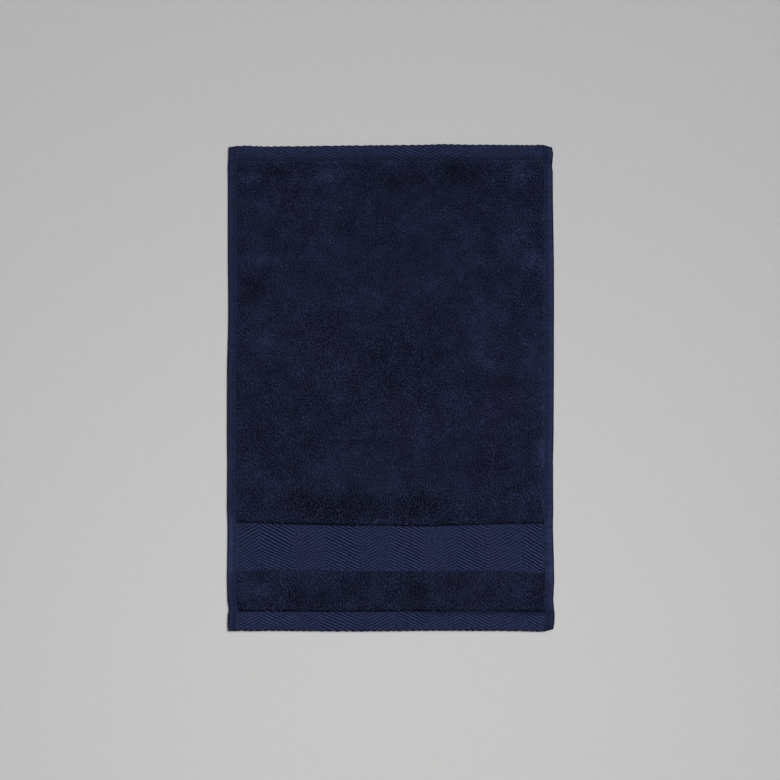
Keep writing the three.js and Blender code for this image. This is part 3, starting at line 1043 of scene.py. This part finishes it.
def build_stitches():
    pitch = STITCH_LENGTH + STITCH_GAP
    starts, ends = [], []
    end = HALF_LENGTH - SIDE_STITCH_MARGIN
    along = np.arange(-end, end - pitch, pitch)
    for side in (-1, 1):
        x = np.full(len(along), side * (HALF_WIDTH - SIDE_STITCH_INSET))
        z = side_hem_height(along + pitch / 2) - SIDE_STITCH_SUNK
        starts.append(np.column_stack([x, along, z]))
        ends.append(np.column_stack([x, along + STITCH_LENGTH, z]))
    end = INNER_HALF - END_STITCH_MARGIN
    across = np.arange(-end, end - pitch, pitch)
    for line in (FAR_SEAM + END_STITCH_INSET, NEAR_SEAM - END_STITCH_INSET):
        y = np.full(len(across), line)
        z = end_hem_height(across, y) + END_STITCH_SHARE * RIB_RISE
        starts.append(np.column_stack([across, y, z]))
        ends.append(np.column_stack([across + STITCH_LENGTH, y, z]))
    points, triangles = stitch_run(np.concatenate(starts), np.concatenate(ends))
    piece = new_mesh_object("hem_stitches", laid_points(points), triangles)
    add_flat_map(piece, points)
    return piece


# ---- Materials ----
def linear(red, green, blue):
    """A colour as seen on a screen, 0 to 255, as the light that it reflects."""
    def channel(value):
        value /= 255
        return value / 12.92 if value <= 0.04045 else ((value + 0.055) / 1.055) ** 2.4
    return (channel(red), channel(green), channel(blue), 1)


TEAL_TINT, VIOLET_TINT = (0.84, 1.045, 0.96, 1), (1.18, 0.965, 1.04, 1)
STANDING_FEET_SHADE = linear(22, 26, 45)
PRESSED_FEET_SHADE = linear(42, 50, 86)
YARN = linear(42.3, 49, 81)
WEAVE_GROOVE_SHADE = linear(17, 22, 40)
WEAVE_RIB = linear(38.5, 46.5, 77)
HEM = linear(29, 36, 61)
THREAD = linear(32, 39, 66)

COTTON = {
    "Roughness": 0.92,
    "Specular IOR Level": 0.06,
    "Sheen Roughness": 0.45,
    "Sheen Tint": (0.55, 0.62, 0.9, 1),
}
PLASTER = {"Roughness": 0.9, "Specular IOR Level": 0.1}
# Where most of a noise node's values lie.
NOISE_SPAN = (0.3, 0.7)


class Nodes:
    """A material's nodes, added and joined by name."""

    def __init__(self, name):
        self.material = bpy.data.materials.new(name)
        self.material.use_nodes = True
        self.tree = self.material.node_tree
        self.shader = self.tree.nodes["Principled BSDF"]
        self.place = self.add("TexCoord").outputs["Object"]

    def add(self, kind, settings=None, **inputs):
        node = self.tree.nodes.new("ShaderNode" + kind)
        for key, value in (settings or {}).items():
            setattr(node, key, value)
        for key, value in inputs.items():
            self.set(node, key, value)
        return node

    def set(self, node, key, value):
        by_number = key[0] == "i" and key[1:].isdigit()
        socket = node.inputs[int(key[1:]) if by_number else key]
        if isinstance(value, bpy.types.NodeSocket):
            self.tree.links.new(value, socket)
        else:
            socket.default_value = value

    def noise(self, size, detail=2.0, roughness=0.5, place=None):
        """Noise from 0 to 1 with lumps of the given size in millimetres."""
        node = self.add("TexNoise", Vector=place or self.place, Scale=1 / (size * MM),
                        Detail=detail, Roughness=roughness)
        return node.outputs["Fac"]

    def varied(self, size, detail, low, high):
        """Noise of the given size that mostly runs from low to high."""
        return self.span(self.noise(size, detail), *NOISE_SPAN, low, high)

    def threads(self, direction, pitch, **inputs):
        """Fine bands at the given pitch in millimetres."""
        node = self.add("TexWave", {"bands_direction": direction}, Vector=self.place,
                        Scale=1 / (pitch * MM) / (2 * math.pi), **inputs)
        return node.outputs["Fac"]

    def times(self, first, second):
        return self.math("MULTIPLY", first, second)

    def math(self, operation, first, second):
        return self.add("Math", {"operation": operation}, i0=first, i1=second).outputs[0]

    def span(self, value, low, high, to_low, to_high):
        bounds = {"From Min": low, "From Max": high, "To Min": to_low, "To Max": to_high}
        return self.add("MapRange", Value=value, **bounds).outputs["Result"]

    def mix(self, factor, first, second):
        node = self.add("Mix", {"data_type": "RGBA"}, i0=factor, i6=first, i7=second)
        return node.outputs[2]

    def scaled(self, colour, factor):
        """A colour made lighter or darker by a factor."""
        if isinstance(colour, tuple):
            colour = colour[:3]
        node = self.add("VectorMath", {"operation": "SCALE"}, i0=colour, Scale=factor)
        return node.outputs["Vector"]

    def tinted(self, colour, amount):
        """The dye's uneven tint, from teal to violet."""
        uneven = self.noise(90, 5.0, 0.7)
        uneven = self.span(uneven, 0.36, 0.64, 0.5 - amount / 2, 0.5 + amount / 2)
        tint = self.mix(uneven, TEAL_TINT, VIOLET_TINT)
        node = self.add("VectorMath", {"operation": "MULTIPLY"}, i0=colour, i1=tint)
        return node.outputs["Vector"]

    def number(self, name):
        return self.add("Attribute", {"attribute_name": name}).outputs["Fac"]

    def finish(self, colour, height, strength, depth, **values):
        """Finishes the shader with a colour and a raised surface."""
        bump = self.add("Bump", Strength=strength, Distance=depth * MM, Height=height)
        values = {"Base Color": colour, "Normal": bump.outputs["Normal"], **values}
        for key, value in values.items():
            self.set(self.shader, key, value)
        return self.material

    def cloth(self, colour, height, depth, sheen):
        """Finishes the shader as matt cotton with a soft sheen."""
        return self.finish(colour, height, 1.0, depth, **COTTON, **{"Sheen Weight": sheen})


def pile_material():
    nodes = Nodes("terry_loops")
    stands = nodes.number("standing")
    # Painted shade between the loops: each loop darkens towards its feet, less where the loops lie
    # pressed; the tips are paler where the loops stand up.
    depth = nodes.span(nodes.number("rise"), 0.3, 1.0, 0.0, 1.0)
    deep = nodes.mix(nodes.span(stands, 0.5, 1.3, 0.0, 1.0), PRESSED_FEET_SHADE, STANDING_FEET_SHADE)
    tip = nodes.scaled(YARN, nodes.span(stands, 0.4, 1.6, 0.92, 1.14))
    colour = nodes.mix(depth, deep, tip)
    # Painted shade and light from the nap: darker where it is turned from the light, paler where
    # it is turned towards it.
    turned = nodes.math("POWER", 0.62, nodes.number("nap"))
    single = nodes.varied(3.0, 1.0, -0.42, 0.42)
    amount = nodes.span(stands, 0.0, 2.0, 0.4, 1.6)
    single = nodes.math("ADD", nodes.times(single, amount), 1.0)
    broad = nodes.varied(60, 2.0, 0.95, 1.05)
    colour = nodes.scaled(colour, nodes.times(turned, single))
    colour = nodes.tinted(nodes.scaled(colour, broad), 1.0)
    fibre = nodes.noise(0.22, 2.0)
    return nodes.cloth(colour, fibre, 0.14, 0.07)


def weave_material():
    nodes = Nodes("chevron_weave")
    # Painted shade from the rise attribute darkens the grooves and each rib's near side; the shade
    # attribute carries painted light and shade over the ribbed zones.
    rib = nodes.span(nodes.number("rise"), -0.2, 1.0, 0.0, 1.0)
    colour = nodes.mix(rib, WEAVE_GROOVE_SHADE, WEAVE_RIB)
    mottle = nodes.varied(1.9, 2.0, 0.55, 1.45)
    colour = nodes.scaled(colour, nodes.times(mottle, nodes.number("shade")))
    colour = nodes.tinted(colour, 0.5)
    yarns = nodes.threads("Y", 0.5, Distortion=1.6, Detail=1.0, **{"Detail Scale": 1.2})
    return nodes.cloth(colour, yarns, 0.16, 0.06)


def hem_material():
    nodes = Nodes("plain_hem")
    stretched = nodes.add("Mapping", Vector=nodes.place, Scale=(0.3, 1, 1)).outputs["Vector"]
    mottle = nodes.span(nodes.noise(3, 3.0, 0.65, stretched), 0.32, 0.68, 0.7, 1.3)
    # The shade attribute paints light and shade across the hems.
    colour = nodes.scaled(HEM, nodes.times(mottle, nodes.number("shade")))
    colour = nodes.tinted(colour, 0.5)
    weft = nodes.threads("Y", 0.6, Distortion=0.8)
    warp = nodes.threads("X", 0.6, Distortion=0.8)
    return nodes.cloth(colour, nodes.times(weft, warp), 0.2, 0.06)


def ground_material():
    nodes = Nodes("pile_ground")
    mottle = nodes.varied(3, 2.0, 0.7, 1.0)
    # The shade attribute paints the shade between the loops and in the crease.
    colour = nodes.scaled(YARN, nodes.times(mottle, nodes.number("shade")))
    return nodes.cloth(colour, nodes.noise(0.8, 2.0), 0.3, 0.03)


def underside_material():
    nodes = Nodes("pressed_loops")
    lumps = nodes.noise(1.6, 2.0)
    colour = nodes.scaled(YARN, nodes.span(lumps, *NOISE_SPAN, 0.55, 1.1))
    return nodes.cloth(colour, lumps, 1.1, 0.06)


def thread_material():
    nodes = Nodes("sewing_thread")
    colour = nodes.scaled(THREAD, nodes.varied(1.5, 1.0, 0.85, 1.15))
    return nodes.cloth(colour, nodes.threads("DIAGONAL", 0.35), 0.06, 0.2)


# ---- Floor, light and camera ----
PHOTO_WIDTH_PIXELS = 780
MM_PER_PIXEL = 1.2282
CAMERA_LENS, CAMERA_SENSOR = 60.0, 36.0
CAMERA_OFFSET_X, CAMERA_OFFSET_Y = -0.91, -2.63

# Places and sizes of the floor and lights, in metres.
FLOOR_HALF, FLOOR_COLOUR = 15.0, (0.53, 0.53, 0.525, 1)
WINDOW_ENERGY, WINDOW_PLACE, WINDOW_ANGLE = 2.93, (1.23, 1.23, 1.46), math.radians(24)
CEILING_ENERGY, CEILING_PLACE, CEILING_TARGET = 2.5, (0, -0.4, 2.6), (0, -0.4, 0)
CEILING_SIZE, CEILING_SPREAD = 0.7, math.radians(60)
ROOM_STRENGTH = 0.14


def build_floor():
    mesh = bpy.data.meshes.new("floor")
    turns = ((-1, -1), (1, -1), (1, 1), (-1, 1))
    corners = [(x * FLOOR_HALF, y * FLOOR_HALF, 0) for x, y in turns]
    mesh.from_pydata(corners, [], [(0, 1, 2, 3)])
    floor = bpy.data.objects.new("floor", mesh)
    bpy.context.collection.objects.link(floor)
    nodes = Nodes("pale_plaster")
    grain = nodes.noise(9, 3.0)
    colour = nodes.scaled(FLOOR_COLOUR, nodes.span(grain, *NOISE_SPAN, 0.99, 1.01))
    mesh.materials.append(nodes.finish(colour, grain, 0.25, 0.6, **PLASTER))


def add_light(kind, name, energy, place, target, **settings):
    light = bpy.data.lights.new(name, kind)
    light.energy = energy
    for key, value in settings.items():
        setattr(light, key, value)
    lamp = bpy.data.objects.new(name, light)
    lamp.location = place
    direction = np.array(target) - np.array(place)
    slanted = direction[0] or direction[1]
    tilt = math.atan2(math.hypot(direction[0], direction[1]), -direction[2])
    turn = math.atan2(direction[1], direction[0]) - math.pi / 2 if slanted else 0
    lamp.rotation_euler = (tilt, 0, turn)
    bpy.context.collection.objects.link(lamp)


def build_lights():
    """A broad window light from the upper right, a ceiling light over the near end, and the
    room's own light."""
    add_light("SUN", "window_light", WINDOW_ENERGY, WINDOW_PLACE, (0, 0, 0), angle=WINDOW_ANGLE)
    add_light("AREA", "ceiling_light", CEILING_ENERGY, CEILING_PLACE, CEILING_TARGET,
              shape="DISK", size=CEILING_SIZE, spread=CEILING_SPREAD)
    world = bpy.data.worlds.new("soft_room")
    bpy.context.scene.world = world
    world.use_nodes = True
    background = world.node_tree.nodes["Background"].inputs
    background["Color"].default_value = (1, 1, 1, 1)
    background["Strength"].default_value = ROOM_STRENGTH
    bpy.context.scene.view_settings.view_transform = "Standard"


def build_camera():
    seen = PHOTO_WIDTH_PIXELS * MM_PER_PIXEL * MM
    camera = bpy.data.cameras.new("camera")
    camera.lens, camera.sensor_width = CAMERA_LENS, CAMERA_SENSOR
    camera.clip_end = 20
    holder = bpy.data.objects.new("camera", camera)
    height = seen * CAMERA_LENS / CAMERA_SENSOR + PILE * MM
    holder.location = (CAMERA_OFFSET_X * MM, CAMERA_OFFSET_Y * MM, height)
    bpy.context.collection.objects.link(holder)
    bpy.context.scene.camera = holder


# ---- Putting it together ----
def dress(piece, *materials):
    """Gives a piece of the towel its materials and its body."""
    for material in materials:
        piece.data.materials.append(material)
    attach(piece, "root")


def main():
    build_camera()
    build_floor()
    build_lights()

    cloth = build_cloth()
    dress(cloth, weave_material(), hem_material(), ground_material(), underside_material())
    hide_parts(CLOTH_NODE)

    loops_look = pile_material()
    pile = build_pile()
    for piece in pile:
        dress(piece, loops_look)
    stitches = build_stitches()
    dress(stitches, thread_material())


main()
